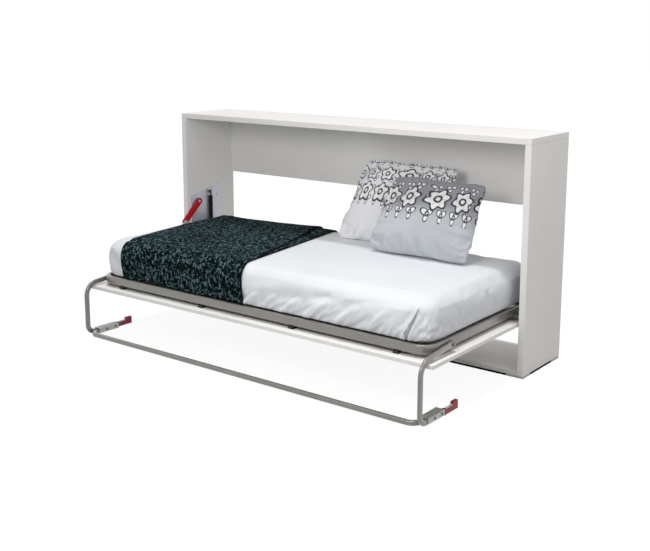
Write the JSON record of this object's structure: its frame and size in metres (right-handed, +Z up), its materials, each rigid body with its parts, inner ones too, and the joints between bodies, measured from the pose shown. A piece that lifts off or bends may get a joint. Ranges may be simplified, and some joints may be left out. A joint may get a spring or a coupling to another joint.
{
  "type": "folding_bed",
  "caption": "Single bed that folds up sideways into a low open white cabinet on gas springs and a folding stay, with a fold-out tube leg, slats, mattress, throw and pillows",
  "frame": {"origin": "On the floor, in the middle of the whole object's plan box with the bed let down", "axes": "X along the bed, to the right as seen from the front. Y to the rear, so the bed opens towards -Y. Z up"},
  "size_m": [2.06, 1.1224, 1.05],
  "materials": {
    "white_board": "smooth matt white board",
    "foot_plastic": "moulded grey plastic",
    "zinc_sheet": "zinc-plated sheet steel",
    "grey_tube": "satin taupe-grey powder coat",
    "red_paint": "satin red paint",
    "red_plastic": "moulded red plastic",
    "black_paint": "satin black paint",
    "black_plastic": "moulded black plastic",
    "chrome_rod": "hard chrome",
    "slat_wood": "laminated beech, clear finish",
    "white_cotton": "cool white woven cotton",
    "grey_cotton": "light grey woven cotton",
    "dark_knit": "very dark teal knitted throw"
  },
  "bodies": {
    "cabinet": {"top_panel": "white_board", "side_panel_right": "white_board", "side_panel_left": "white_board", "bottom_shelf": "white_board", "upper_back_panel": "white_board", "foot_front_right": "foot_plastic", "foot_front_left": "foot_plastic", "foot_rear_right": "foot_plastic", "foot_rear_left": "foot_plastic", "mechanism_plate_right": "zinc_sheet", "mechanism_plate_left": "zinc_sheet", "pivot_pin_right": "zinc_sheet", "pivot_pin_left": "zinc_sheet"},
    "bed": {"frame_front_rail": "grey_tube", "frame_rear_rail": "grey_tube", "frame_side_rail_right": "grey_tube", "frame_side_rail_left": "grey_tube", "slat_support_front": "grey_tube", "slat_support_rear": "grey_tube", "slat_1": "slat_wood", "slat_2": "slat_wood", "slat_3": "slat_wood", "slat_4": "slat_wood", "slat_5": "slat_wood", "slat_6": "slat_wood", "slat_7": "slat_wood", "slat_8": "slat_wood", "slat_9": "slat_wood", "slat_10": "slat_wood", "door_panel": "white_board", "door_spacer_front_1": "black_plastic", "door_spacer_front_2": "black_plastic", "door_spacer_front_3": "black_plastic", "door_spacer_front_4": "black_plastic", "door_spacer_rear_1": "black_plastic", "door_spacer_rear_2": "black_plastic", "hinge_bracket_right": "grey_tube", "hinge_bracket_left": "grey_tube", "leg_pivot_bolt_right": "zinc_sheet", "leg_pivot_bolt_left": "zinc_sheet", "mattress": "white_cotton", "throw": "dark_knit", "pillow_back": "white_cotton", "pillow_front": "grey_cotton"},
    "leg": {"leg_hoop_right": "grey_tube", "leg_hoop_left": "grey_tube", "leg_crossbar": "grey_tube", "leg_saddle_right": "zinc_sheet", "leg_saddle_left": "zinc_sheet", "foot_hook_right": "red_plastic", "foot_hook_left": "red_plastic"},
    "gas_tube_right": {"gas_spring_tube_right": "black_paint"},
    "gas_rod_right": {"gas_spring_rod_right": "chrome_rod"},
    "gas_tube_left": {"gas_spring_tube_left": "black_paint"},
    "gas_rod_left": {"gas_spring_rod_left": "chrome_rod"},
    "stay_upper": {"stay_channel": "red_paint"},
    "stay_lower": {"stay_bar": "zinc_sheet"}
  },
  "joints": [
    {"name": "bed_fold", "type": "hinge", "parent": "cabinet", "child": "bed", "pos_m": [0, 0.23125, 0.262], "axis": [-1, 0, 0], "range_deg": [0, 90], "deforming": ["pillow_back", "pillow_front"]},
    {"name": "leg_fold", "type": "hinge", "parent": "bed", "child": "leg", "pos_m": [0, -0.31375, 0.2785], "axis": [-1, 0, 0], "range_deg": [0, 190]},
    {"name": "gas_tube_swing_right", "type": "hinge", "parent": "cabinet", "child": "gas_tube_right", "pos_m": [0.9865, 0.35925, 0.606], "axis": [-1, 0, 0], "range_deg": [0, 12.9]},
    {"name": "gas_rod_slide_right", "type": "slide", "parent": "gas_tube_right", "child": "gas_rod_right", "axis": [0, 0, -1], "range_m": [0, 0.1603]},
    {"name": "gas_tube_swing_left", "type": "hinge", "parent": "cabinet", "child": "gas_tube_left", "pos_m": [-0.9865, 0.35925, 0.606], "axis": [-1, 0, 0], "range_deg": [0, 12.9]},
    {"name": "gas_rod_slide_left", "type": "slide", "parent": "gas_tube_left", "child": "gas_rod_left", "axis": [0, 0, -1], "range_m": [0, 0.1603]},
    {"name": "stay_upper_swing", "type": "hinge", "parent": "cabinet", "child": "stay_upper", "pos_m": [-0.9908, 0.27325, 0.562], "axis": [-1, 0, 0], "range_deg": [0, 147.8]},
    {"name": "stay_lower_swing", "type": "hinge", "parent": "bed", "child": "stay_lower", "pos_m": [-0.9826, -0.00375, 0.322], "axis": [1, 0, 0], "range_deg": [0, 132]}
  ],
  "couplings": [
    {"joint": "leg_fold", "follows": "bed_fold", "ratio": 2.1111},
    {"joint": "gas_tube_swing_right", "follows": "bed_fold", "ratio": 0.1432},
    {"joint": "gas_rod_slide_right", "follows": "bed_fold", "m_per_rad": 0.10198},
    {"joint": "gas_tube_swing_left", "follows": "bed_fold", "ratio": 0.1432},
    {"joint": "gas_rod_slide_left", "follows": "bed_fold", "m_per_rad": 0.10198},
    {"joint": "stay_upper_swing", "follows": "bed_fold", "ratio": 1.642},
    {"joint": "stay_lower_swing", "follows": "bed_fold", "ratio": 1.4655}
  ]
}
